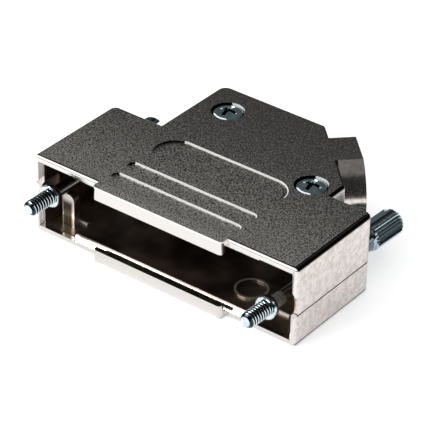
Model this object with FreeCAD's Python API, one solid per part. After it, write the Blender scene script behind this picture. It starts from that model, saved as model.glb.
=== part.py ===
import FreeCAD, Part
import math
import os

# Die-cast backshell ("hood") for a 25-way D-shaped connector, with a cable exit at
# 45 degrees and two captive thumbscrews. Millimetres. The origin is the middle of the
# connector opening in the front plane: +X right, +Y towards the cable, +Z up.

# Housing, outside
front_width = 55.4
height = 15.3
wide_depth = 21.5
body_depth = 39.5
neck_left = -17.1
neck_right = 19.2
chamfer_sum = 44.7          # the cut-off corner lies on x + y = chamfer_sum
parting_z = -1.55           # where the outer walls of the two shells meet
parting_gap = 0.12          # left between the walls; the screw bosses touch
edge_radius = 0.65
bottom_chamfer = 0.4
front_corner_radius = 0.7
wide_corner_radius = 1.3
neck_corner_radius = 1.8
small_corner_radius = 0.8

# Housing, inside
skin = 1.15                 # top and bottom walls
wall = 1.45                 # side walls
lap_inset = 0.75            # the lap tongue stands this far inside the outer face
lap_height = 1.2
lap_gap = 0.05
lap_front = 2.2             # the lap starts behind the screw recesses

# Connector seat: flange 53.04 x 12.55, about 1.1 thick
seat_width = 53.74
seat_back = 0.8
lip_half_width = 13.6
lip_front = -1.5
lip_back = -0.45
lip_depth = 2.55
lip_corner_radius = 0.7
rail_half_width = 19.8
rail_thickness = 1.0
rail_depth = 2.05
rail_chamfer = 0.3

# Cable exit, a round spout cut flush with the top and bottom faces
exit_x = 14.12
exit_y = 37.08
exit_radius = 8.47
exit_bore_radius = 6.0
exit_sum = 51.2             # its end lies on x + y = exit_sum
exit_root = 2.0             # the spout starts this far inside the body

# Recesses in the top face
recess_depth = 0.4
recess_half_length = 13.4
panel_y = 15.7
panel_radius = 4.0
groove_ys = (7.9, 3.6)
groove_radius = 1.0

# Fasteners that hold the shells together, M3 with a hexagon nut
housing_screw_places = {"left": (-10.85, 32.45), "right": (14.7, 22.0)}
boss_radius = 3.9
counterbore_radius = 3.05
counterbore_depth = 2.05
clearance_radius = 1.7
screw_radius = 1.5
screw_head_radius = 2.8
screw_head_height = 2.4
screw_head_rim = 1.9
nut_across_flats = 5.5
nut_height = 2.4
nut_gap = 0.05
nut_recess = 0.2            # the nut stands this far inside the bottom face

# Thumbscrews, one turned piece each, at the connector's hole spacing. They lie loose in
# their slots: the left one a little high, the right one with its head low. The one
# beside the cable exit is longer, so that fingers reach its head.
screw_pitch = 47.04
thread_radius = 1.42
thread_length = 5.35
collar_radius = 2.05
collar_length = 0.6
shank_radius = 1.15
head_offset = {"left": 24.35, "right": 28.4}    # from the collar's front to the shoulder
head_length = {"left": 4.2, "right": 8.0}
head_radius = 2.52
head_shoulder_radius = 2.15
head_shoulder_length = 0.7
knurl_count = 24
knurl_depth = 0.28
slot_width = 0.8
slot_depth = 1.4
collar_front_y = {"left": -1.25, "right": -2.7}
screw_rest_z = {"left": 1.3, "right": -0.15}    # of the axis, at the collar's front
screw_tilt = {"left": 0, "right": -3.1}         # degrees, negative where the head is low
slot_turn = {"left": 40, "right": -23}          # degrees, from upright
washer_radius = 2.0
washer_bore_radius = 1.35
washer_thickness = 0.5
washer_gap = 0.05

# What carries the thumbscrews inside the shells
rear_slot_radius = 1.5
rear_slot_reach = 1.4       # from mid-height to the centres of the slot's round ends
screw_notch_radius = 4.4    # cut through the thin wall beside the seat
screw_recess_radius = 3.55  # and this behind it
screw_recess_end = 4.7
lower_posts = {"left": (-23.0, 3.2, -0.2), "right": (23.52, 7.5, -2.3)}    # x, y, tip z
upper_posts = {"right": (23.52, 7.5, 0.8)}
post_thickness = 1.4
post_width = 2.6
floor_rib_y = 5.0
floor_rib_x = (20.3, 23.0)
floor_rib_height = 0.3
mark_place = (13.4, 7.6)
mark_radius = 3.0
mark_width = 0.4
mark_height = 0.3
mark_sides = 24

# Cable clamp across the cable run, at 45 degrees
clamp_place = (2.5, 25.46)
clamp_width = 5.0
clamp_bore_radius = 4.2
clamp_strap = 1.2
clamp_ear_thickness = 1.5
clamp_lower_ear_z = -2.7    # top of the lower ears
clamp_upper_ear_z = 1.2     # underside of the upper ears
clamp_screw_offset = 7.4
clamp_ear_end = 9.3
clamp_screw_radius = 1.25
clamp_head_radius = 2.2
clamp_head_height = 1.5
clamp_boss_width = 4.4

V = FreeCAD.Vector
half_width = front_width / 2
half_height = height / 2
inner_z = half_height - skin
screw_x = screw_pitch / 2
diagonal = math.sqrt(0.5)
exit_axis = V(diagonal, diagonal, 0)
across_axis = V(diagonal, -diagonal, 0)
UP = V(0, 0, 1)
BACK = V(0, 1, 0)
sides = {"left": -1, "right": 1}


def box(x0, x1, y0, y1, z0, z1):
    return Part.makeBox(x1 - x0, y1 - y0, z1 - z0, V(x0, y0, z0))


def cylinder(radius, start, axis, length):
    return Part.makeCylinder(radius, length, start, axis)


def rounded_wire(corners, z):
    """A closed outline from (x, y, radius) corners, each rounded by its radius."""
    edges = []
    ends = []
    count = len(corners)
    for i, (x, y, radius) in enumerate(corners):
        here = V(x, y, z)
        before = V(corners[i - 1][0], corners[i - 1][1], z) - here
        after = V(corners[(i + 1) % count][0], corners[(i + 1) % count][1], z) - here
        if radius == 0:
            ends.append((here, here))
            continue
        before.normalize()
        after.normalize()
        opening = before.getAngle(after)
        reach = radius / math.tan(opening / 2)
        first = here + before * reach
        last = here + after * reach
        middle = before + after
        middle.normalize()
        peak = here + middle * (radius / math.sin(opening / 2) - radius)
        edges.append(Part.Arc(first, peak, last).toShape())
        ends.append((first, last))
    for i in range(count):
        start = ends[i][1]
        stop = ends[(i + 1) % count][0]
        if start.distanceToPoint(stop) > 1e-6:
            edges.append(Part.LineSegment(start, stop).toShape())
    return Part.Wire(Part.__sortEdges__(edges))


def body_corners():
    """Plan outline of the housing, anticlockwise from the front left corner."""
    return [
        (-half_width, 0, front_corner_radius),
        (half_width, 0, front_corner_radius),
        (half_width, wide_depth, wide_corner_radius),
        (neck_right, wide_depth, 0),
        (neck_right, chamfer_sum - neck_right, small_corner_radius),
        (chamfer_sum - body_depth, body_depth, small_corner_radius),
        (neck_left, body_depth, neck_corner_radius),
        (neck_left, wide_depth, 0),
        (-half_width, wide_depth, wide_corner_radius),
    ]


def prism(wire, length):
    return Part.Face(wire).extrude(UP * length)


def inset_prism(inset, z0, z1):
    """The body's outline moved in by inset, with sharp corners."""
    points = [V(x, y, z0) for x, y, radius in body_corners()]
    wire = Part.makePolygon(points + points[:1])
    return prism(wire.makeOffset2D(-inset, 2), z1 - z0)


def slot_prism(y, radius, half_length, z0, z1):
    """A bar along X with full-round ends."""
    bar = box(radius - half_length, half_length - radius, y - radius, y + radius, z0, z1)
    for side in (-1, 1):
        end = V(side * (half_length - radius), y, z0)
        bar = bar.fuse(cylinder(radius, end, UP, z1 - z0))
    return bar


def rim_edges(block, z):
    """Edges of the face at z, without those at the mouth."""
    rim = []
    for edge in block.Edges:
        level = edge.BoundBox
        flat = abs(level.ZMin - z) < 1e-3 and abs(level.ZMax - z) < 1e-3
        if flat and level.YMax > front_corner_radius + 1e-3:
            rim.append(edge)
    return rim


def rounded_body():
    """The solid block of the housing: rounded top edges, broken bottom edges, sharp mouth."""
    block = prism(rounded_wire(body_corners(), -half_height), height)
    block = block.makeFillet(edge_radius, rim_edges(block, half_height))
    return block.makeChamfer(bottom_chamfer, rim_edges(block, -half_height))


def exit_spout():
    end = V(exit_x, exit_y, 0)
    length = (exit_sum - chamfer_sum) * diagonal + exit_root
    spout = cylinder(exit_radius, end - exit_axis * length, exit_axis, length)
    slab = box(-half_width, front_width, 0, front_width, -half_height, half_height)
    return spout.common(slab)


def cavity():
    """Everything that both shells leave open, from the mouth to the cable exit."""
    space = inset_prism(wall, -inner_z, inner_z)
    mouth = box(wall - half_width, half_width - wall, -1, 2 * wall, -inner_z, inner_z)
    seat = box(-seat_width / 2, seat_width / 2, -1, seat_back, -inner_z, inner_z)
    bore_end = V(exit_x, exit_y, 0) + exit_axis
    bore_length = (exit_sum - chamfer_sum) * diagonal + wall + 2
    bore = cylinder(exit_bore_radius, bore_end, exit_axis * -1, bore_length)
    return space.fuse([mouth, seat, bore])


def lips():
    """The two centre lips that hold the connector's flange from the front."""
    corners = [
        (-lip_half_width, lip_front, lip_corner_radius),
        (lip_half_width, lip_front, lip_corner_radius),
        (lip_half_width, seat_back, 0),
        (-lip_half_width, seat_back, 0),
    ]
    slab = prism(rounded_wire(corners, -half_height), height)
    between = half_height - lip_depth
    gap = box(-half_width, half_width, lip_front - 1, seat_back + 1, -between, between)
    groove = box(-half_width, half_width, lip_back, seat_back + 1, -inner_z, inner_z)
    return slab.cut([gap, groove])


def rails():
    """Ribs behind the flange; the floor's one has its upper front edge broken."""
    middle = seat_back + rail_thickness / 2
    shape = (middle, rail_thickness / 2, rail_half_width)
    lower = slot_prism(*shape, skin / 2 - half_height, rail_depth - half_height)
    upper = slot_prism(*shape, half_height - rail_depth, half_height - skin / 2)
    front_edges = []
    for edge in lower.Edges:
        span = edge.BoundBox
        on_top = span.ZMin > rail_depth - half_height - 1e-3
        if on_top and span.YMax < seat_back + 1e-3 and span.XLength > rail_half_width:
            front_edges.append(edge)
    return [lower.makeChamfer(rail_chamfer, front_edges), upper]


def housing_bosses():
    bosses = []
    for x, y in housing_screw_places.values():
        bosses.append(cylinder(boss_radius, V(x, y, -inner_z - skin / 2), UP, 2 * inner_z + skin))
    return bosses


def regular_prism(x, y, z, corner_radius, count, length):
    turns = [2 * math.pi * i / count for i in range(count + 1)]
    points = [V(x + corner_radius * math.cos(a), y + corner_radius * math.sin(a), z) for a in turns]
    return Part.Face(Part.makePolygon(points)).extrude(UP * length)


def hexagon(x, y, z, across_flats, length):
    return regular_prism(x, y, z, across_flats / math.sqrt(3), 6, length)


def housing_screw_cuts():
    cuts = []
    for x, y in housing_screw_places.values():
        top = half_height - counterbore_depth
        cuts.append(cylinder(clearance_radius, V(x, y, -height), UP, 2 * height))
        cuts.append(cylinder(counterbore_radius, V(x, y, top), UP, height))
        pocket = nut_height + nut_recess
        across = nut_across_flats + 2 * nut_gap
        cuts.append(hexagon(x, y, -half_height - 1, across, pocket + 1))
    return cuts


def screw_path_cuts():
    """Notch and recess at the mouth and upright slot in the rear wall, for each thumbscrew."""
    cuts = []
    for side in sides.values():
        mouth = V(side * screw_x, -1, 0)
        cuts.append(cylinder(screw_notch_radius, mouth, BACK, 1 + seat_back))
        cuts.append(cylinder(screw_recess_radius, mouth, BACK, 1 + screw_recess_end))
        x, y = side * screw_x, wide_depth - 2 * wall
        cuts.append(box(x - rear_slot_radius, x + rear_slot_radius, y, y + 3 * wall,
                        -rear_slot_reach, rear_slot_reach))
        for end in (-rear_slot_reach, rear_slot_reach):
            cuts.append(cylinder(rear_slot_radius, V(x, y, end), BACK, 3 * wall))
    return cuts


def lap_ring(inner_extra, top_extra):
    """The band inside the outer walls where the lower shell's tongue runs."""
    z1 = parting_z + lap_height + top_extra
    ring = inset_prism(lap_inset, parting_z, z1)
    ring = ring.cut(inset_prism(wall + inner_extra, parting_z - 1, z1 + 1))
    ahead = box(-half_width, half_width, -1, lap_front, parting_z - 1, z1 + 1)
    return ring.cut(ahead)


def top_recesses():
    """Shallow panel and two finger grooves in the top face."""
    floor = half_height - recess_depth
    shapes = [slot_prism(panel_y, panel_radius, recess_half_length, floor, half_height + 1)]
    for y in groove_ys:
        shapes.append(slot_prism(y, groove_radius, recess_half_length, floor, half_height + 1))
    return shapes


def housing():
    """Both shells as one solid, with every feature that crosses the parting."""
    solid = rounded_body().fuse(exit_spout())
    solid = solid.cut(cavity())
    solid = solid.fuse(housing_bosses() + rails())
    solid = solid.cut(housing_screw_cuts() + screw_path_cuts())
    return solid.fuse(lips())


def half_space(above):
    reach = 2 * front_width
    if above:
        return box(-reach, reach, -reach, reach, parting_z, reach)
    return box(-reach, reach, -reach, reach, -reach, parting_z)


def stop_post(x, front, tip, upright):
    """Arch-ended post over or under a shank; it stops the thumbscrew's washer."""
    arch = post_width / 2
    root = inner_z + skin / 2
    back = front + post_thickness
    if upright:
        centre = V(x, front, tip - arch)
        stem = box(x - arch, x + arch, front, back, -root, centre.z)
    else:
        centre = V(x, front, tip + arch)
        stem = box(x - arch, x + arch, front, back, centre.z, root)
    return stem.fuse(cylinder(arch, centre, BACK, post_thickness))


def clamp_boss_centres():
    centre = V(clamp_place[0], clamp_place[1], 0)
    return [centre + across_axis * (side * clamp_screw_offset) for side in (-1, 1)]


def clamp_bosses():
    """Square posts under the cable clamp, each with a hole for its screw."""
    ear = clamp_lower_ear_z - clamp_ear_thickness
    low = -inner_z - skin / 2
    bosses = []
    for place in clamp_boss_centres():
        corner = clamp_boss_width * diagonal
        boss = regular_prism(place.x, place.y, low, corner, 4, ear - low)
        hole = cylinder(clamp_screw_radius + 0.02, V(place.x, place.y, -inner_z), UP, height)
        bosses.append(boss.cut(hole))
    return bosses


def floor_details():
    """Posts, low ribs beside the screw channels and a raised ring on the floor."""
    details = [stop_post(*post, True) for post in lower_posts.values()]
    low = -inner_z - skin / 2
    rib_top = -inner_z + floor_rib_height
    for side in sides.values():
        xs = sorted((side * floor_rib_x[0], side * floor_rib_x[1]))
        details.append(box(xs[0], xs[1], floor_rib_y, floor_rib_y + rail_thickness, low, rib_top))
    place = (mark_place[0], mark_place[1], low)
    length = skin / 2 + mark_height
    ring = regular_prism(*place, mark_radius, mark_sides, length)
    details.append(ring.cut(regular_prism(*place, mark_radius - mark_width, mark_sides, length)))
    return details


def upper_shell(whole):
    shell = whole.common(half_space(True))
    shell = shell.fuse([stop_post(*post, False) for post in upper_posts.values()])
    shell = shell.cut(lap_ring(lap_gap, lap_gap))
    return shell.cut(top_recesses()).removeSplitter()


def lower_shell(whole):
    shell = whole.common(half_space(False)).cut(wall_gap())
    tongue = lap_ring(0, 0).cut(cavity())
    shell = shell.fuse([tongue.cut(lap_obstacles())] + clamp_bosses() + floor_details())
    return shell.removeSplitter()


def lap_obstacles():
    """Where the tongue stands back: screw holes, bosses and the lap's own side clearance."""
    cuts = screw_path_cuts() + [lap_side_gap()]
    for x, y in housing_screw_places.values():
        cuts.append(cylinder(clearance_radius, V(x, y, -height), UP, 2 * height))
    return Part.makeCompound(cuts)


def wall_gap():
    """A thin slice off the lower walls' top outside the lap, so that the bosses seat."""
    low = parting_z - parting_gap
    slab = box(-2 * front_width, 2 * front_width, -5, 2 * front_width, low, parting_z + 1)
    inner = inset_prism(lap_inset, low - 1, parting_z + 2)
    ahead = box(-half_width, half_width, -5, lap_front, low - 1, parting_z + 2)
    return slab.cut(inner.cut(ahead))


def lap_side_gap():
    z1 = parting_z + lap_height + 1
    outer = inset_prism(lap_inset - 1e-3, parting_z, z1)
    return outer.cut(inset_prism(lap_inset + lap_gap, parting_z - 1, z1 + 1))


def revolve_profile(points, centre, axis):
    """Turn (radius, distance along axis) points about an axis through centre."""
    side = V(1, 0, 0)
    corners = [centre + side * radius + axis * along for radius, along in points]
    face = Part.Face(Part.makePolygon(corners + [corners[0]]))
    return face.revolve(centre, axis, 360)


def cross_recess(place, span, width, depth):
    bars = [box(place.x - a / 2, place.x + a / 2, place.y - b / 2, place.y + b / 2,
                place.z - depth, place.z + 1) for a, b in ((span, width), (width, span))]
    return bars[0].fuse(bars[1])


def pan_head(place, radius, height_over, rim, shank, length):
    """Pan-head screw: head standing on place, shank below it."""
    solid = revolve_profile([(0, -length), (shank, -length), (shank, 0), (radius, 0),
                             (radius, rim), (radius * 0.75, height_over),
                             (0, height_over)], place, UP)
    crown = V(place.x, place.y, place.z + height_over)
    return solid.cut(cross_recess(crown, radius * 1.15, radius * 0.25, height_over * 0.62))


def cheese_head(place, radius, height_over, shank, length):
    """Slotted screw with a plain cylindrical head."""
    solid = revolve_profile([(0, -length), (shank, -length), (shank, 0), (radius, 0),
                             (radius, height_over), (0, height_over)], place, UP)
    half_slot = radius * 0.14
    slot = box(place.x - 2 * radius, place.x + 2 * radius, place.y - half_slot,
               place.y + half_slot, place.z + height_over * 0.5, place.z + height_over + 1)
    return solid.cut(slot)


def housing_screw(x, y):
    seat = V(x, y, half_height - counterbore_depth)
    nut_bottom = -half_height + nut_recess
    length = seat.z - nut_bottom
    return pan_head(seat, screw_head_radius, screw_head_height, screw_head_rim, screw_radius, length)


def housing_nut(x, y):
    low = -half_height + nut_recess
    nut = hexagon(x, y, low, nut_across_flats, nut_height)
    return nut.cut(cylinder(screw_radius + 0.02, V(x, y, low - 1), UP, nut_height + 2))


def knurled_head(start, length):
    """Straight-knurled grip: a star section with a groove between each two ridges."""
    steps = 2 * knurl_count
    points = []
    for i in range(steps + 1):
        angle = 2 * math.pi * i / steps
        radius = head_radius - knurl_depth * (i % 2)
        points.append(V(radius * math.cos(angle), start, radius * math.sin(angle)))
    return Part.Face(Part.makePolygon(points)).extrude(BACK * length)


def laid_in_slot(shape, name):
    """From the origin to the thumbscrew's place: tilted, with its collar's front there."""
    shape.rotate(V(0, 0, 0), V(1, 0, 0), screw_tilt[name])
    shape.translate(V(sides[name] * screw_x, collar_front_y[name], screw_rest_z[name]))
    return shape


def thumbscrew(name):
    """One turned piece: threaded end, collar, thin shank and knurled slotted head."""
    shoulder = head_offset[name]
    head_start = shoulder + head_shoulder_length
    head_end = head_start + head_length[name]
    turned = revolve_profile([
        (0, -thread_length), (thread_radius, -thread_length), (thread_radius, 0),
        (collar_radius, 0), (collar_radius, collar_length), (shank_radius, collar_length),
        (shank_radius, shoulder), (head_shoulder_radius, shoulder),
        (head_shoulder_radius, head_start), (0, head_start)], V(0, 0, 0), BACK)
    slot = box(-slot_width / 2, slot_width / 2, head_end - slot_depth, head_end + 1,
               -2 * head_radius, 2 * head_radius)
    slot.rotate(V(0, 0, 0), BACK, slot_turn[name])
    screw = turned.fuse(knurled_head(head_start, head_length[name])).cut(slot)
    return laid_in_slot(screw.removeSplitter(), name)


def retaining_washer(name):
    start = V(0, collar_length + washer_gap, 0)
    ring = cylinder(washer_radius, start, BACK, washer_thickness)
    ring = ring.cut(cylinder(washer_bore_radius, start, BACK, washer_thickness))
    return laid_in_slot(ring, name)


def clamp_saddle(ear_z, upward):
    """Pressed strap: two flat ears joined by an arch round the cable."""
    outer = clamp_bore_radius + clamp_strap
    low = ear_z if upward else ear_z - clamp_ear_thickness
    high = ear_z + clamp_ear_thickness if upward else ear_z
    centre = V(clamp_place[0], clamp_place[1], 0)
    start = centre - exit_axis * (clamp_width / 2)
    plate = oriented_box(start, clamp_ear_end, low, high)
    arch = cylinder(outer, start, exit_axis, clamp_width)
    keep = (low, outer + 1) if upward else (-outer - 1, high)
    arch = arch.common(oriented_box(start, outer + 1, keep[0], keep[1]))
    strap = plate.fuse(arch).cut(cylinder(clamp_bore_radius, start, exit_axis, clamp_width))
    for place in clamp_boss_centres():
        hole_foot = V(place.x, place.y, -height)
        strap = strap.cut(cylinder(clamp_screw_radius + 0.15, hole_foot, UP, 2 * height))
    return strap.removeSplitter()


def oriented_box(start, half_length, low, high):
    """A bar across the cable run, clamp_width long along it."""
    corner = V(start.x, start.y, low)
    points = [corner - across_axis * half_length, corner + across_axis * half_length]
    points += [points[1] + exit_axis * clamp_width, points[0] + exit_axis * clamp_width]
    return Part.Face(Part.makePolygon(points + [points[0]])).extrude(UP * (high - low))


def clamp_screw(place):
    seat = V(place.x, place.y, clamp_upper_ear_z + clamp_ear_thickness)
    length = seat.z + inner_z
    return cheese_head(seat, clamp_head_radius, clamp_head_height, clamp_screw_radius, length)


def build():
    whole = housing()
    parts = {"upper_shell": upper_shell(whole), "lower_shell": lower_shell(whole)}
    for name, (x, y) in housing_screw_places.items():
        parts["housing_screw_" + name] = housing_screw(x, y)
        parts["housing_nut_" + name] = housing_nut(x, y)
    for name in sides:
        parts["thumbscrew_" + name] = thumbscrew(name)
        parts["retaining_washer_" + name] = retaining_washer(name)
    parts["clamp_saddle_upper"] = clamp_saddle(clamp_upper_ear_z, True)
    parts["clamp_saddle_lower"] = clamp_saddle(clamp_lower_ear_z, False)
    for name, place in zip(("left", "right"), clamp_boss_centres()):
        parts["clamp_screw_" + name] = clamp_screw(place)
    return parts


os.makedirs("parts", exist_ok=True)
for node, shape in build().items():
    solid = shape.Solids[0] if len(shape.Solids) == 1 else shape
    box_size = solid.BoundBox
    print(node, "solids", len(shape.Solids), "valid", solid.isValid(), "volume", round(solid.Volume, 1),
          "x", round(box_size.XMin, 2), round(box_size.XMax, 2), "y", round(box_size.YMin, 2),
          round(box_size.YMax, 2), "z", round(box_size.ZMin, 2), round(box_size.ZMax, 2))
    solid.exportStep("parts/" + node + ".step")
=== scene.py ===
import math

import bmesh
import bpy
from mathutils import Matrix, Vector


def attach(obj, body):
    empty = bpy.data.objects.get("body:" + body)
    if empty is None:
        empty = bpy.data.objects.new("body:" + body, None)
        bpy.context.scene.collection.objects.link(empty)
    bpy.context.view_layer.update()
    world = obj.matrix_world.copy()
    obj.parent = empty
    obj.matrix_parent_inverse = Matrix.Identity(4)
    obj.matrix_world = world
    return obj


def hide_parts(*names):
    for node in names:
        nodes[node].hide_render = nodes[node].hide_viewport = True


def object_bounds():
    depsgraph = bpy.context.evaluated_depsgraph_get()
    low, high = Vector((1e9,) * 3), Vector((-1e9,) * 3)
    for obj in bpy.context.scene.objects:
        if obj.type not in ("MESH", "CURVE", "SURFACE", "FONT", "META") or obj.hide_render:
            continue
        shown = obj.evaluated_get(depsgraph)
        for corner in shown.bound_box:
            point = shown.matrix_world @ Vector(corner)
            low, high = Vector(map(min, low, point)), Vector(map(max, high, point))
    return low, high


# Connector hood: the two cast halves and the small hardware keep their CAD meshes and get
# finishes here; the thumbscrews and pan screws are rebuilt with their threads and crosses.

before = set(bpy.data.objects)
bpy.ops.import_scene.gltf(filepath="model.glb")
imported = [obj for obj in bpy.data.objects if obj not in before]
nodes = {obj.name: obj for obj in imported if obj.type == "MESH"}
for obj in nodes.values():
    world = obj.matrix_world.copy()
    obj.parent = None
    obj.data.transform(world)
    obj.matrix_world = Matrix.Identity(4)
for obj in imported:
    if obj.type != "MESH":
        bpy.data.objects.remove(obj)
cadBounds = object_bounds()
mm = 0.001
print("frame loaded, nodes:", len(nodes))


# shared measures, in millimetres

tiny = 0.01
recesses = {"panel": (15.7, 4.0), "rearGroove": (7.9, 1.0), "frontGroove": (3.6, 1.0)}  # y, radius
recessEnd = 13.4
counterbores = {"Left": (-10.85, 32.45), "Right": (14.7, 22.0)}
laidScrews = {      # place of the collar's front, head's start from there, angles in degrees
    "Left": {"place": (-23.52, -1.25, 1.3), "tilt": 0.0, "headStart": 24.35, "headLength": 4.2,
             "slotTurn": 40},
    "Right": {"place": (23.52, -2.7, -0.15), "tilt": -3.1, "headStart": 28.4, "headLength": 8.0,
              "slotTurn": -23},
}


# shader maths: a wrapped socket that adds its own nodes

class Wire:
    def __init__(self, tree, socket=None):
        self.tree = tree
        self.socket = socket

    def make(self, kind, settings=None, values=None, out=0):
        node = self.tree.nodes.new(kind)
        for name, value in (settings or {}).items():
            setattr(node, name, value)
        for key, value in (values or {}).items():
            if isinstance(value, Wire):
                self.tree.links.new(value.socket, node.inputs[key])
            else:
                node.inputs[key].default_value = value
        return Wire(self.tree, node.outputs[out])

    def maths(self, operation, a, b=0.0):
        return self.make("ShaderNodeMath", {"operation": operation}, {0: a, 1: b})

    def __add__(self, other):
        return self.maths("ADD", self, other)

    def __radd__(self, other):
        return self.maths("ADD", other, self)

    def __sub__(self, other):
        return self.maths("SUBTRACT", self, other)

    def __rsub__(self, other):
        return self.maths("SUBTRACT", other, self)

    def __mul__(self, other):
        return self.maths("MULTIPLY", self, other)

    def __rmul__(self, other):
        return self.maths("MULTIPLY", other, self)

    def __abs__(self):
        return self.maths("ABSOLUTE", self)

    def split(self):  # a vector's three numbers
        node = self.make("ShaderNodeSeparateXYZ", None, {0: self}).socket.node
        return [Wire(self.tree, part) for part in node.outputs]

    def most(self, other):
        return self.maths("MAXIMUM", self, other)

    def above(self, level, soft):  # 0 below level, 1 above it, over a soft band
        return self.make("ShaderNodeMapRange", {"interpolation_type": "SMOOTHSTEP"},
                         {"Value": self, "From Min": level - soft, "From Max": level + soft})

    def inside(self, low, high, soft):
        return self.above(low, soft) * (1.0 - self.above(high, soft))

    def blend(self, first, second):  # colours: first where self is 0, second where it is 1
        return self.make("ShaderNodeMix", {"data_type": "RGBA"},
                         {"Factor": self, 6: first, 7: second}, 2)

    def vary(self, low, high):  # 0..1 to low..high
        return self * (high - low) + low


def rgb(red, green, blue):
    return (red, green, blue, 1.0)


def newMaterial(name):
    material = bpy.data.materials.new(name)
    material.use_nodes = True
    tree = material.node_tree
    shader = tree.nodes["Principled BSDF"]
    start = Wire(tree).make("ShaderNodeTexCoord", out="Object")
    return material, tree, shader, start


def feed(tree, shader, **wires):
    for name, wire in wires.items():
        tree.links.new(wire.socket, shader.inputs[name.replace("_", " ")])


def axesOf(start):  # object position in millimetres
    scaled = start.make("ShaderNodeVectorMath", {"operation": "SCALE"}, {0: start, "Scale": 1 / mm})
    return scaled, scaled.split()


def noise(at, scale, detail, roughness):
    return at.make("ShaderNodeTexNoise", {"noise_dimensions": "3D"},
                   {"Vector": at, "Scale": scale, "Detail": detail, "Roughness": roughness})


def bump(height, distance, strength):
    return height.make("ShaderNodeBump", None,
                       {"Height": height, "Distance": distance, "Strength": strength})


def zoneMask(lines, zone):  # 1 where every line lies between its two ends
    mask = None
    for line, (low, high, soft) in zone.items():
        parts = []
        if low is not None:
            parts.append(lines[line].above(low, soft))
        if high is not None:
            parts.append(1.0 - lines[line].above(high, soft))
        for part in parts:
            mask = part if mask is None else mask * part
    return mask


casting = {
    "side": rgb(0.70, 0.64, 0.60),
    "sideCloud": rgb(0.97, 0.90, 0.87),
    # painted reflection: the front faces are lighter than the sides
    "front": rgb(0.90, 0.87, 0.84),
    "topDark": rgb(0.06, 0.058, 0.052),
    "topLight": rgb(0.95, 0.93, 0.88),
    # painted shade: near black on the rounded top edges, a painted dark reflection; also the
    # parting seam's dark joint and the recesses' painted shade
    "edge": rgb(0.012, 0.011, 0.010),
    # painted reflection on the flat post front: dark middle and bright edges, as on a rounded
    # column
    "postDarkReflection": rgb(0.05, 0.045, 0.035),
    "postHighlight": rgb(0.80, 0.74, 0.66),
    # painted shade: the hollow's inside darker than the outside, with lighter cloudy patches
    "inner": rgb(0.15, 0.12, 0.10),
    "innerLight": rgb(0.5, 0.4, 0.33),
    # painted highlight: white and not metal, on the walls, rims and thin faces that catch the lamp
    "paintedHighlight": rgb(0.97, 0.96, 0.94),
    "sideRough": 0.18,
    "topRough": 0.4,
    "innerRough": 0.32,
    "innerHaze": 0.07,
    "roughSpread": 0.1,
    "grain": (3.9, 3.0, 0.7),       # noise: grains per millimetre, detail, roughness
    "cloud": (0.12, 2.0, 0.5),
    "mottle": (1.1, 5.0, 0.75),
    "grainLevel": (0.468, 0.07),    # where the grain turns light, and how softly
    "grainLean": 0.003,             # the top darkens by this for each millimetre towards the cable
    "calm": (19.0, 14.0, 0.5),      # and the grain fades there: from y, softness, share
    "calmTone": 0.23,
    "mottleLevel": (0.49, 0.13),
    "cloudLevel": (0.5, 0.2),
    "grainDepth": 0.00003,
    "grainStrength": 0.55,
    "sideGrain": 0.12,              # of the top's
    "boreOffset": 22.96,            # y - x along the cable's line
    "markPlace": (13.4, 7.6),       # middle of the round mark on the floor inside
    # share of painted highlight on the round mark
    "markGlow": 0.1,
    "postLeftShare": 0.5,
}
# the casting's surfaces: from, to and softness along each line, in millimetres
zones = {
    "skin": {"reach": (7.635, None, 0.012)},
    "recess": {"across": (None, 13.45, 0.05), "y": (1.8, 19.9, 0.1), "reach": (7.15, None, 0.05)},
    "spout": {"diagonal": (44.85, None, 0.05), "y": (21.6, None, 0.05)},
    # edge and rightEdge: the rounded top edges, painted dark as a reflection
    "edge": {"reach": (7.05, None, 0.18), "y": (0.3, None, 0.1)},
    "rightEdge": {"x": (26.8, None, 0.05)},
    # cheek, ribs and brow: thin faces and edges painted as highlight
    "cheek": {"across": (26.82, 26.92, 0.01), "y": (None, 0.82, 0.02), "reach": (None, 6.45, 0.05)},
    "ribs": {"across": (20.35, 22.95, 0.02), "y": (4.95, 5.4, 0.02), "z": (-6.4, -6.1, 0.02)},
    "brow": {"y": (None, 0.3, 0.05), "reach": (7.3, 7.635, 0.02)},
    "seam": {"z": (-1.74, -1.48, 0.03)},
    "behindFront": {"y": (0.2, None, 0.1)},
    "wide": {"across": (None, 26.35, 0.05), "y": (0.9, 20.15, 0.1)},
    "neck": {"x": (-15.75, 17.85, 0.05), "y": (19.9, 38.15, 0.05), "diagonal": (None, 42.9, 0.1)},
    "bore": {"boreRing": (None, 37.0, 0.5), "diagonal": (41.01, None, 0.42)},
    "notch": {"notchRing": (None, 13.0, 0.3), "y": (0.85, 4.8, 0.05)},
    "withinWalls": {"reach": (None, 6.6, 0.05)},
    "mark": {"markRing": (5.5, 9.3, 0.1), "z": (-6.3, -6.1, 0.03)},
    # post zones: where the post's painted reflection lies
    "post": {"x": (-24.35, -21.65, 0.02), "y": (3.1, 3.3, 0.02), "z": (None, -0.15, 0.02)},
    "postRight": {"x": (-22.15, None, 0.3)},
    "postLeft": {"x": (None, -24.1, 0.2)},
    "postTop": {"z": (-1.6, None, 0.7)},
}


def linesOf(x, y, z):  # rings: squared distances from the bore, a screw and the mark
    across = abs(x)
    bore, aside = x - y + casting["boreOffset"], across - laidScrews["Right"]["place"][0]
    markX, markY = x - casting["markPlace"][0], y - casting["markPlace"][1]
    return {"x": x, "y": y, "z": z, "across": across, "reach": abs(z), "diagonal": x + y,
            "boreRing": 0.5 * bore * bore + z * z, "notchRing": aside * aside + z * z,
            "markRing": markX * markX + markY * markY}


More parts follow.
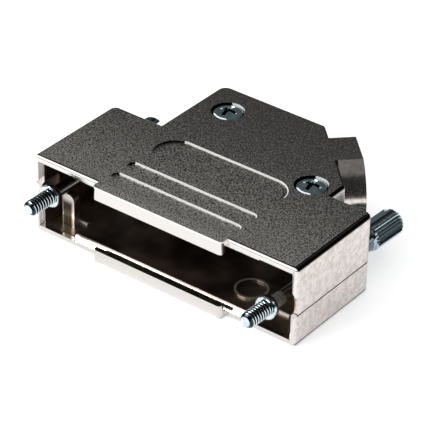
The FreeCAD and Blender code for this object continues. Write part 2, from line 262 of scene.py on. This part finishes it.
groove = {
    "wall": (-0.1, 0.12, 0.1),      # from, to and softness about the wall's own radius
    "foot": (-0.75, -0.02, 0.05),   # painted shade on the floor in front of the wall
    "footShade": 0.5,
    "floor": (7.265, 0.008),
    "leftPart": 0.25,               # of the radius: where the left end begins
    "turn": 0.1,                    # behind the middle: where the wall turns to the mouth
    "turnSoft": 0.1,
    "darkFrom": (7.27, 0.01),
    "darkZone": (7.15, 7.62, 0.01),
}


def bandAbout(squared, radius, band):
    low, high, soft = band
    return squared.inside((radius + low) ** 2, (radius + high) ** 2, soft)


def recessWalls(x, y, z):  # painted highlight on the top recesses' walls that face the mouth, painted shade at their left ends and on the floor before them
    lit, dark = 0.0, 0.0
    onFloor = 1.0 - z.above(*groove["floor"])
    for middle, radius in recesses.values():
        straight = recessEnd - radius
        out, rise = (abs(x) - straight).most(0.0), y - middle
        squared = rise * rise + out * out
        wall = bandAbout(squared, radius, groove["wall"])
        foot = bandAbout(squared, radius, groove["foot"])
        left = (x * -1.0 - straight).above(groove["leftPart"] * radius, groove["turnSoft"])
        back = rise.above(groove["turn"], groove["turnSoft"]) * (1.0 - left)
        lit += wall * back
        dark += wall * left * z.above(*groove["darkFrom"])
        dark += foot * back * onFloor * groove["footShade"]
    return lit * z.above(*groove["floor"]), dark * z.inside(*groove["darkZone"])


boreWall = {"ring": (8.5, 10.5, 0.2), "lean": 0.7, "back": (0.95, 0.2), "height": (6.9, 7.62, 0.03)}


def litPits(x, y, z):  # painted highlight on the back walls of the counterbores
    pits = 0.0
    for middleX, middleY in counterbores.values():
        dx, dy = x - middleX, y - middleY
        ring = (dx * dx + dy * dy).inside(*boreWall["ring"])
        pits += ring * (dy - abs(dx - boreWall["lean"])).above(*boreWall["back"])
    return pits * z.inside(*boreWall["height"])


def makeCasting(name):
    look = casting
    material, tree, shader, start = newMaterial(name)
    at, (x, y, z) = axesOf(start)
    grain, cloud, mottle = [noise(at, *look[kind]) for kind in ("grain", "cloud", "mottle")]
    lines = linesOf(x, y, z)
    zone = {kind: zoneMask(lines, ends) for kind, ends in zones.items()}

    topFace = zone["skin"].most(zone["recess"])
    # the rounded top edges, painted dark as a reflection
    edge = zone["edge"] * (1.0 - topFace) * (1.0 - zone["spout"])
    edge = edge.most(zone["skin"] * zone["rightEdge"])
    lit, dark = recessWalls(x, y, z)
    # painted highlight on the lit recess walls, the counterbores' back walls, the cheek, the ribs
    # and the brow
    paintedHighlight = lit.most(litPits(x, y, z))
    for kind in ("cheek", "ribs", "brow"):
        paintedHighlight = paintedHighlight.most(zone[kind])
    # inside the hollow: painted shade
    inner = zone["wide"].most(zone["neck"]).most(zone["bore"]).most(zone["notch"])
    inner = inner * zone["withinWalls"]
    haze = cloud.above(*look["cloudLevel"])

    sideColor = mottle.above(*look["mottleLevel"]).blend(look["side"], look["sideCloud"])
    # the front faces get the lighter colour, a painted reflection
    sideColor = zone["behindFront"].blend(look["front"], sideColor)
    speck = (grain - y * look["grainLean"]).above(*look["grainLevel"])
    calmFrom, calmSoft, calmShare = look["calm"]
    calm = y.above(calmFrom, calmSoft) * calmShare
    speck = speck * (1.0 - calm) + calm * look["calmTone"]
    color = topFace.blend(sideColor, speck.blend(look["topDark"], look["topLight"]))
    # near black for the painted dark edges, the seam's joint and the recesses' painted shade
    color = edge.most(zone["seam"]).most(dark).blend(color, look["edge"])
    color = inner.blend(color, haze.blend(look["inner"], look["innerLight"]))
    # the round mark on the inside floor, drawn in the highlight colour as painted highlight
    color = zone["mark"].blend(color, look["postHighlight"])
    # painted reflection on the post: bright edges round a dark middle
    rim = zone["postRight"].most(zone["postLeft"] * look["postLeftShare"]).most(zone["postTop"])
    color = zone["post"].blend(color, rim.blend(look["postDarkReflection"], look["postHighlight"]))
    paintedHighlight = paintedHighlight.most(zone["mark"] * look["markGlow"])
    color = paintedHighlight.blend(color, look["paintedHighlight"])

    rough = topFace * (look["topRough"] - look["sideRough"]) + look["sideRough"]
    rough = rough + (mottle - 0.5) * look["roughSpread"]
    rough = rough + inner * (look["innerRough"] - look["sideRough"])
    rough = rough + inner * haze * look["innerHaze"]
    height = (grain - 0.5) * topFace.vary(look["sideGrain"], 1.0)
    normal = bump(height, look["grainDepth"], look["grainStrength"])
    feed(tree, shader, Base_Color=color, Roughness=rough, Normal=normal, Metallic=1.0 - paintedHighlight)
    return material


hardware = {
    "zinc": {"color": rgb(0.42, 0.58, 0.64), "tint": rgb(0.20, 0.31, 0.36), "rough": 0.12},
    "nut": {"color": rgb(0.5, 0.51, 0.53), "tint": rgb(0.4, 0.41, 0.43), "rough": 0.35},
    "turned": {"color": rgb(0.90, 0.96, 0.98), "tint": rgb(0.66, 0.76, 0.81), "rough": 0.08},
    "spring": {"color": rgb(0.06, 0.06, 0.065), "tint": rgb(0.1, 0.1, 0.1), "rough": 0.45},
    "strap": {"color": rgb(0.55, 0.55, 0.56), "tint": rgb(0.4, 0.4, 0.42), "rough": 0.4},
}
metalGrain = {
    "cloud": (0.9, 3.0, 0.6),       # noise: scale, detail, roughness
    "fine": (9.0, 2.0, 0.6),
    "cloudLevel": (0.55, 0.25),
    "roughSpread": (-0.06, 0.1),
    "depth": 0.00002,
    "strength": 0.4,
}


# painted highlights, painted shade and wear on the screws
wearAndPaintedLight = {
    "crossHighlight": rgb(0.95, 0.97, 0.98),     # painted highlight on the ends of the cross recesses
    "crossShade": rgb(0.01, 0.02, 0.025),      # painted shade in their middles
    "root": rgb(0.03, 0.06, 0.07),      # painted shade in the thread roots
    "shank": rgb(0.4, 0.42, 0.43),
    "shankSpeckDark": rgb(0.2, 0.21, 0.21),  # lighter, speckled right shank just behind its collar
    "shankSpeckLight": rgb(1.0, 1.0, 0.98),
    "shankSpeckLevel": (0.5, 0.08),
    "knurl": rgb(0.46, 0.58, 0.64),
    "knurlLeft": rgb(0.2, 0.25, 0.28),  # the left one is darker
    "shankRough": 0.4,
}
# where the painted light and wear lie: from, to and softness, rings as squared distances
crossZones = {
    "ends": {"ring": (2.0, 3.6, 0.1), "rise": (-0.6, None, 0.1), "z": (6.9, 7.6, 0.02)},
    "rim": {"ring": (5.5, 6.9, 0.15), "front": (2.02, None, 0.05)},
    "pits": {"ring": (None, 1.7, 0.1), "z": (6.0, 7.72, 0.02)},
}
rimSide = (-0.096, -0.995)      # which side of a head's rim gets the painted highlight
threadZones = {
    "root": {"ring": (0.8, 1.76, 0.06), "behind": (None, -0.1, 0.03)},
    "shank": {"ring": (None, 1.6, 0.1), "behind": (0.63, None, 0.03)},
    "knurl": {"y": (21.6, None, 0.2)},
    "right": {"x": (0.0, None, 1.0)},
    "nearCollar": {"y": (None, 1.8, 0.3)},
}


def crossMarks(x, y, z):  # painted highlights on the crosses' ends and the heads' front rims, painted shade in the crosses' middles
    paintedGlints, pits = 0.0, 0.0
    for middleX, middleY in counterbores.values():
        dx, dy = x - middleX, y - middleY
        lines = {"ring": dx * dx + dy * dy, "rise": dy, "z": z,
                 "front": dx * rimSide[0] + dy * rimSide[1]}
        ends, rim, middle = [zoneMask(lines, crossZones[kind]) for kind in ("ends", "rim", "pits")]
        paintedGlints += ends + rim
        pits += middle
    return paintedGlints, pits


def threadMarks(x, y, z):  # both screws' roots for painted shade, shanks and knurls, and which is the right one
    leftPlace, rightPlace = [laidScrews[side]["place"] for side in ("Left", "Right")]
    slope = -math.tan(math.radians(laidScrews["Right"]["tilt"]))
    right = zoneMask({"x": x}, threadZones["right"])
    aside = abs(x) - rightPlace[0]
    fall = leftPlace[2] - rightPlace[2] - rightPlace[1] * slope
    rise = z - leftPlace[2] + right * (y * slope + fall)
    lines = {"x": x, "y": y, "ring": aside * aside + rise * rise,
             "behind": y - leftPlace[1] + right * (leftPlace[1] - rightPlace[1])}
    return [zoneMask(lines, threadZones[kind])
            for kind in ("root", "shank", "knurl", "nearCollar")] + [right]


def makeHardware(name):
    look = hardware[name]
    material, tree, shader, start = newMaterial(name + "Metal")
    at, (x, y, z) = axesOf(start)
    cloud, fine = noise(at, *metalGrain["cloud"]), noise(at, *metalGrain["fine"])
    shader.inputs["Metallic"].default_value = 1.0
    color = cloud.above(*metalGrain["cloudLevel"]).blend(look["color"], look["tint"])
    rough = fine.vary(*[look["rough"] + part for part in metalGrain["roughSpread"]])
    if name == "zinc":
        # painted highlights on the cross ends and head rims, painted shade in the crosses
        paintedGlints, pits = crossMarks(x, y, z)
        color = paintedGlints.blend(pits.blend(color, wearAndPaintedLight["crossShade"]), wearAndPaintedLight["crossHighlight"])
        feed(tree, shader, Metallic=1.0 - paintedGlints)
    if name == "turned":
        root, shank, knurl, nearCollar, right = threadMarks(x, y, z)
        headColor = right.blend(wearAndPaintedLight["knurlLeft"], wearAndPaintedLight["knurl"])
        shankSpeck = fine.above(*wearAndPaintedLight["shankSpeckLevel"]).blend(wearAndPaintedLight["shankSpeckDark"], wearAndPaintedLight["shankSpeckLight"])
        speckledShank = right * nearCollar
        color = shank.blend(color, speckledShank.blend(wearAndPaintedLight["shank"], shankSpeck))
        # painted shade in the thread roots
        color = root.blend(knurl.blend(color, headColor), wearAndPaintedLight["root"])
        rough = shank * speckledShank * wearAndPaintedLight["shankRough"] + rough
    normal = bump(fine, metalGrain["depth"], metalGrain["strength"])
    feed(tree, shader, Base_Color=color, Roughness=rough, Normal=normal)
    return material


castMaterial = makeCasting("nickelCasting")
metals = {name: makeHardware(name) for name in hardware}
finishes = {
    "upper_shell": castMaterial,
    "lower_shell": castMaterial,
    "housing_screw_left": metals["zinc"],
    "housing_screw_right": metals["zinc"],
    "housing_nut_left": metals["nut"],
    "housing_nut_right": metals["nut"],
    "thumbscrew_left": metals["turned"],
    "thumbscrew_right": metals["turned"],
    "retaining_washer_left": metals["spring"],
    "retaining_washer_right": metals["spring"],
    "clamp_saddle_upper": metals["strap"],
    "clamp_saddle_lower": metals["strap"],
    "clamp_screw_left": metals["zinc"],
    "clamp_screw_right": metals["zinc"],
}
for name, material in finishes.items():
    if name in nodes:
        nodes[name].data.materials.clear()
        nodes[name].data.materials.append(material)
print("finishes given to", len(finishes), "nodes")


# turned and pressed hardware: built along +Z, then laid along its own line

mergeDistance = 0.001       # millimetres, like all lengths until a piece is added
threadMerge = 0.002
sharpAngle = 32


def turnedShape(shape, outline, steps=64):  # outline: (radius, height) points
    made = [shape.verts.new((radius, 0, height)) for radius, height in outline]
    edges = [shape.edges.new(pair) for pair in zip(made, made[1:])]
    bmesh.ops.spin(shape, geom=made + edges, cent=(0, 0, 0), axis=(0, 0, 1),
                   angle=math.tau, steps=steps, use_merge=True)
    bmesh.ops.remove_doubles(shape, verts=shape.verts, dist=mergeDistance)


def blockShape(width, depth, low, high, taper=1.0):  # taper: how narrow the low end is
    shape = bmesh.new()
    middle = (high + low) / 2
    bmesh.ops.create_cube(shape, size=1.0)
    bmesh.ops.scale(shape, verts=shape.verts, vec=(width, depth, high - low))
    bmesh.ops.translate(shape, verts=shape.verts, vec=(0, 0, middle))
    bottom = [vertex for vertex in shape.verts if vertex.co.z < middle]
    bmesh.ops.scale(shape, verts=bottom, vec=(taper, taper, 1))
    return shape


def turnShape(shape, degrees, axis):
    bmesh.ops.rotate(shape, verts=shape.verts, cent=(0, 0, 0),
                     matrix=Matrix.Rotation(math.radians(degrees), 3, axis))


def asObject(name, shape):
    bmesh.ops.recalc_face_normals(shape, faces=shape.faces)
    mesh = bpy.data.meshes.new(name)
    shape.to_mesh(mesh)
    shape.free()
    holder = bpy.data.objects.new(name, mesh)
    bpy.context.scene.collection.objects.link(holder)
    return holder


def carved(shape, cutter):  # shape with the cutter's room taken out of it
    body, tool = asObject("carving", shape), asObject("cutter", cutter)
    cut = body.modifiers.new("cut", "BOOLEAN")
    cut.operation, cut.solver, cut.object = "DIFFERENCE", "EXACT", tool
    bpy.context.view_layer.update()
    graph = bpy.context.evaluated_depsgraph_get()
    result = bmesh.new()
    result.from_mesh(body.evaluated_get(graph).to_mesh())
    for holder in (body, tool):
        bpy.data.objects.remove(holder)
    return result


def addPiece(name, shape, place, material, body, standsFor):
    bmesh.ops.scale(shape, verts=shape.verts, vec=(mm, mm, mm))
    bmesh.ops.translate(shape, verts=shape.verts, vec=[value * mm for value in place])
    piece = asObject(name, shape)
    piece.data.shade_smooth()
    piece.data.set_sharp_from_angle(angle=math.radians(sharpAngle))
    piece.data.materials.append(material)
    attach(piece, body)
    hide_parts(standsFor)
    return piece


thumbscrew = {
    "pitch": 0.635, "crest": 1.42, "root": 1.02, "threadLength": 5.35, "tip": 0.9,
    "tooth": (0.1, 0.46, 0.54, 0.9),    # parts of the pitch where the tooth rises and falls
    "threadSteps": 40, "spareTurns": 3, "intoCollar": 0.05,
    "collar": 2.05, "collarLength": 0.6, "collarEdge": 0.12, "shank": 1.15,
    "shoulder": 2.15, "shoulderLength": 0.7, "shoulderEdge": 0.1,
    "head": 2.52, "ridges": 24, "ridgeDepth": 0.3, "ridgeSides": 4,
    "headEnd": 2.16, "startSlope": 0.35, "endSlope": 0.45,
    "slotWidth": 0.8, "slotDepth": 1.4,
}


def threadShape(look):
    shape = bmesh.new()
    pitch, steps, length = look["pitch"], look["threadSteps"], look["threadLength"]
    root, crest, spare = look["root"], look["crest"], look["spareTurns"]
    rise, top, fall, foot = look["tooth"]
    tooth = [(root, 0), (root, rise), (crest, top), (crest, fall), (root, foot), (root, 1)]
    made = [shape.verts.new((radius, 0, part * pitch)) for radius, part in tooth]
    edges = [shape.edges.new(pair) for pair in zip(made, made[1:])]
    turns = round(length / pitch) + spare
    bmesh.ops.spin(shape, geom=made + edges, cent=(0, 0, 0), axis=(0, 0, 1),
                   angle=math.tau * turns, steps=turns * steps, dvec=(0, 0, pitch / steps))
    bmesh.ops.remove_doubles(shape, verts=shape.verts, dist=threadMerge)
    bmesh.ops.translate(shape, verts=shape.verts, vec=(0, 0, -length - spare / 2 * pitch))
    for level, side in ((-length, -1), (look["intoCollar"], 1)):
        bmesh.ops.bisect_plane(shape, geom=shape.verts[:] + shape.edges[:] + shape.faces[:],
                               plane_co=(0, 0, level), plane_no=(0, 0, side), clear_outer=True)
    for vertex in shape.verts:      # the tip is chamfered
        radius = vertex.co.xy.length
        allowed = look["tip"] + (vertex.co.z + length)
        if radius > allowed:
            vertex.co.xy *= allowed / radius
    rim = [edge for edge in shape.edges if edge.is_boundary]
    bmesh.ops.holes_fill(shape, edges=rim, sides=0)
    return shape


def knurledHead(look):
    shape = bmesh.new()
    bmesh.ops.create_circle(shape, cap_ends=True, segments=look["ridges"] * look["ridgeSides"],
                            radius=look["head"])
    start = look["headStart"] + look["shoulderLength"]
    straight = look["headLength"] - look["startSlope"] - look["endSlope"]
    face = shape.faces[:]
    bmesh.ops.translate(shape, verts=shape.verts, vec=(0, 0, start))
    for rise in (look["startSlope"], straight, look["endSlope"]):
        out = bmesh.ops.extrude_face_region(shape, geom=face)["geom"]
        face = [item for item in out if isinstance(item, bmesh.types.BMFace)]
        ring = [vertex for item in face for vertex in item.verts]
        bmesh.ops.translate(shape, verts=ring, vec=(0, 0, rise))
    end = start + look["headLength"]
    for vertex in shape.verts:
        turn = math.atan2(vertex.co.y, vertex.co.x) / math.tau * look["ridges"]
        valley = abs(2 * (turn - math.floor(turn)) - 1)     # 1 on a ridge, 0 between two
        radius = look["head"] - look["ridgeDepth"] * (1 - valley)
        if min(vertex.co.z - start, end - vertex.co.z) < tiny:
            radius = look["headEnd"]
        vertex.co.xy *= radius / vertex.co.xy.length
    slot = blockShape(look["head"] * 3, look["slotWidth"], end - look["slotDepth"], end + 1)
    turnShape(slot, look["slotTurn"] - 90, "Z")
    return carved(shape, slot)


def makeThumbscrew(side, look):
    shape = knurledHead(look)
    collar, long, edge = look["collar"], look["collarLength"], look["collarEdge"]
    shoulder, start, bevel = look["shoulder"], look["headStart"], look["shoulderEdge"]
    turnedShape(shape, [
        (0, 0.0), (collar - edge, 0.0), (collar, edge), (collar, long - edge),
        (collar - edge, long), (look["shank"], long), (look["shank"], start),
        (shoulder - bevel, start), (shoulder, start + bevel),
        (shoulder, start + look["shoulderLength"]), (0, start + look["shoulderLength"])])
    thread = asObject("thread", threadShape(look))
    shape.from_mesh(thread.data)
    bpy.data.objects.remove(thread)
    turnShape(shape, look["tilt"] - 90, "X")
    addPiece("turnedScrew" + side, shape, look["place"], metals["turned"],
             "screw_" + side.lower(), "thumbscrew_" + side.lower())


panScrew = {
    "turns": {"Left": 5, "Right": 8},
    "seat": 5.6, "foot": -7.45, "shank": 1.5, "footEdge": 0.2, "headEdge": 0.12,
    "head": 2.8, "rim": 1.4, "bend": 0.5, "bendStep": 12.5, "bendPoints": 7, "height": 2.4,
    "crownParts": (0.2, 0.4, 0.6, 0.8),
    "crossSpan": 4.0, "crossWidth": 0.78, "crossDepth": 1.2, "crossTaper": 0.565,
}


def panOutline(look):
    head, bend, height = look["head"], look["bend"], look["height"]
    angles = [math.radians(look["bendStep"] * step) for step in range(look["bendPoints"])]
    rim = [(head - bend * (1 - math.cos(turn)), look["rim"] + bend * math.sin(turn))
           for turn in angles]
    lastRadius, lastHeight = rim[-1]
    crown = [(lastRadius * (1 - part), lastHeight + (height - lastHeight) * (2 - part) * part)
             for part in look["crownParts"]]
    depth, shank = look["foot"] - look["seat"], look["shank"]
    stem = [(0, depth), (shank - look["footEdge"], depth), (shank, depth + look["footEdge"]),
            (shank, 0), (head - look["headEdge"], 0), (head, look["headEdge"])]
    return stem + rim + crown + [(0, height)]


def makePanScrew(side, look):
    shape = bmesh.new()
    turnedShape(shape, panOutline(look))
    low, high = look["height"] - look["crossDepth"], look["height"] + tiny
    spans = (look["crossSpan"], look["crossWidth"])
    for width, span in (spans, spans[::-1]):
        shape = carved(shape, blockShape(width, span, low, high, look["crossTaper"]))
    turnShape(shape, look["turns"][side], "Z")
    addPiece("panScrew" + side, shape, (*counterbores[side], look["seat"]), metals["zinc"],
             "housing", "housing_screw_" + side.lower())


for side, laid in laidScrews.items():
    makeThumbscrew(side, {**thumbscrew, **laid})
for side in counterbores:
    makePanScrew(side, panScrew)
print("screws made")


studio = {
    "floorColor": rgb(0.85, 0.85, 0.85),
    "floorRough": 0.9,
    "floorHalf": 3.0,
    "floorGlow": 0.45,      # added where the camera sees the floor
    "floorMirrored": 0.2,   # and where metal mirrors it
    "worldLight": 0.8,
    "skyLow": 0.015,        # what metal mirrors towards the right and the horizon
    "skyHigh": 0.155,       # and overhead
    "skyLean": (-0.55, 0.25, 0.8),
    "skyEdge": (0.3, 0.1),
}


def seenDirectly(tree):  # by the camera, and in a mirror or through glass
    paths = Wire(tree).make("ShaderNodeLightPath").socket.node
    camera, glossy, through = [Wire(tree, paths.outputs[name]) for name in
                               ("Is Camera Ray", "Is Glossy Ray", "Is Transmission Ray")]
    return camera, glossy.most(through)


def makeFloor():
    shape = bmesh.new()
    bmesh.ops.create_grid(shape, x_segments=1, y_segments=1, size=studio["floorHalf"])
    floor = asObject("studioFloor", shape)
    floor.location = (0, 0, cadBounds[0][2] - tiny * mm)
    material, tree, shader, start = newMaterial("paleFloor")
    shader.inputs["Base Color"].default_value = studio["floorColor"]
    shader.inputs["Roughness"].default_value = studio["floorRough"]
    shader.inputs["Specular IOR Level"].default_value = 0.0
    shader.inputs["Emission Strength"].default_value = 1.0
    camera, mirrored = seenDirectly(tree)
    seen = camera * studio["floorGlow"] + mirrored * studio["floorMirrored"]
    feed(tree, shader, Emission_Color=seen.blend(rgb(0, 0, 0), rgb(1, 1, 1)))
    floor.data.materials.append(material)


def makeWorld():
    world = bpy.data.worlds.new("studioWorld")
    bpy.context.scene.world = world
    world.use_nodes = True
    tree = world.node_tree
    background = tree.nodes["Background"]
    background.inputs["Color"].default_value = rgb(1, 1, 1)
    camera, mirrored = seenDirectly(tree)
    direction = Wire(tree).make("ShaderNodeTexCoord", out="Generated").split()
    parts = [part * weight for part, weight in zip(direction, studio["skyLean"])]
    high = (parts[0] + parts[1] + parts[2]).above(*studio["skyEdge"])
    sky = high.vary(studio["skyLow"], studio["skyHigh"])
    light = mirrored * sky + (1.0 - mirrored) * studio["worldLight"]
    tree.links.new((camera + (1.0 - camera) * light).socket, background.inputs["Strength"])


keyLamp = {"place": (-0.30, -0.55, 0.40), "aim": (0, 0.01, 0), "size": (0.45, 0.2), "power": 2.6}


def makeKeyLamp(look):
    lamp = bpy.data.lights.new("keyLamp", "AREA")
    lamp.shape = "RECTANGLE"
    lamp.size, lamp.size_y = look["size"]
    lamp.energy = look["power"]
    holder = bpy.data.objects.new("keyLamp", lamp)
    bpy.context.scene.collection.objects.link(holder)
    holder.location = look["place"]
    line = Vector(look["aim"]) - Vector(look["place"])
    holder.rotation_euler = line.to_track_quat("-Z", "Y").to_euler()


photoCamera = {
    "place": (0.203258, -0.257846, 0.221352),
    "aim": (0.002964, 0.012866, 0.0),
    "lean": 1.514,      # degrees, turned anticlockwise about the line of sight
    "lens": 192.79,
    "sensor": 36.0,
    "clip": (0.01, 20.0),
}


def makeCamera(look):
    data = bpy.data.cameras.new("photoCamera")
    data.lens = look["lens"]
    data.sensor_width = look["sensor"]
    data.clip_start, data.clip_end = look["clip"]
    camera = bpy.data.objects.new("photoCamera", data)
    bpy.context.scene.collection.objects.link(camera)
    place = Vector(look["place"])
    turn = (Vector(look["aim"]) - place).to_track_quat("-Z", "Y").to_matrix()
    turn = turn @ Matrix.Rotation(math.radians(look["lean"]), 3, "Z")
    camera.matrix_world = Matrix.Translation(place) @ turn.to_4x4()
    bpy.context.scene.camera = camera


makeFloor()
makeWorld()
makeKeyLamp(keyLamp)
makeCamera(photoCamera)
bpy.context.scene.view_settings.view_transform = "Standard"
print("studio ready")
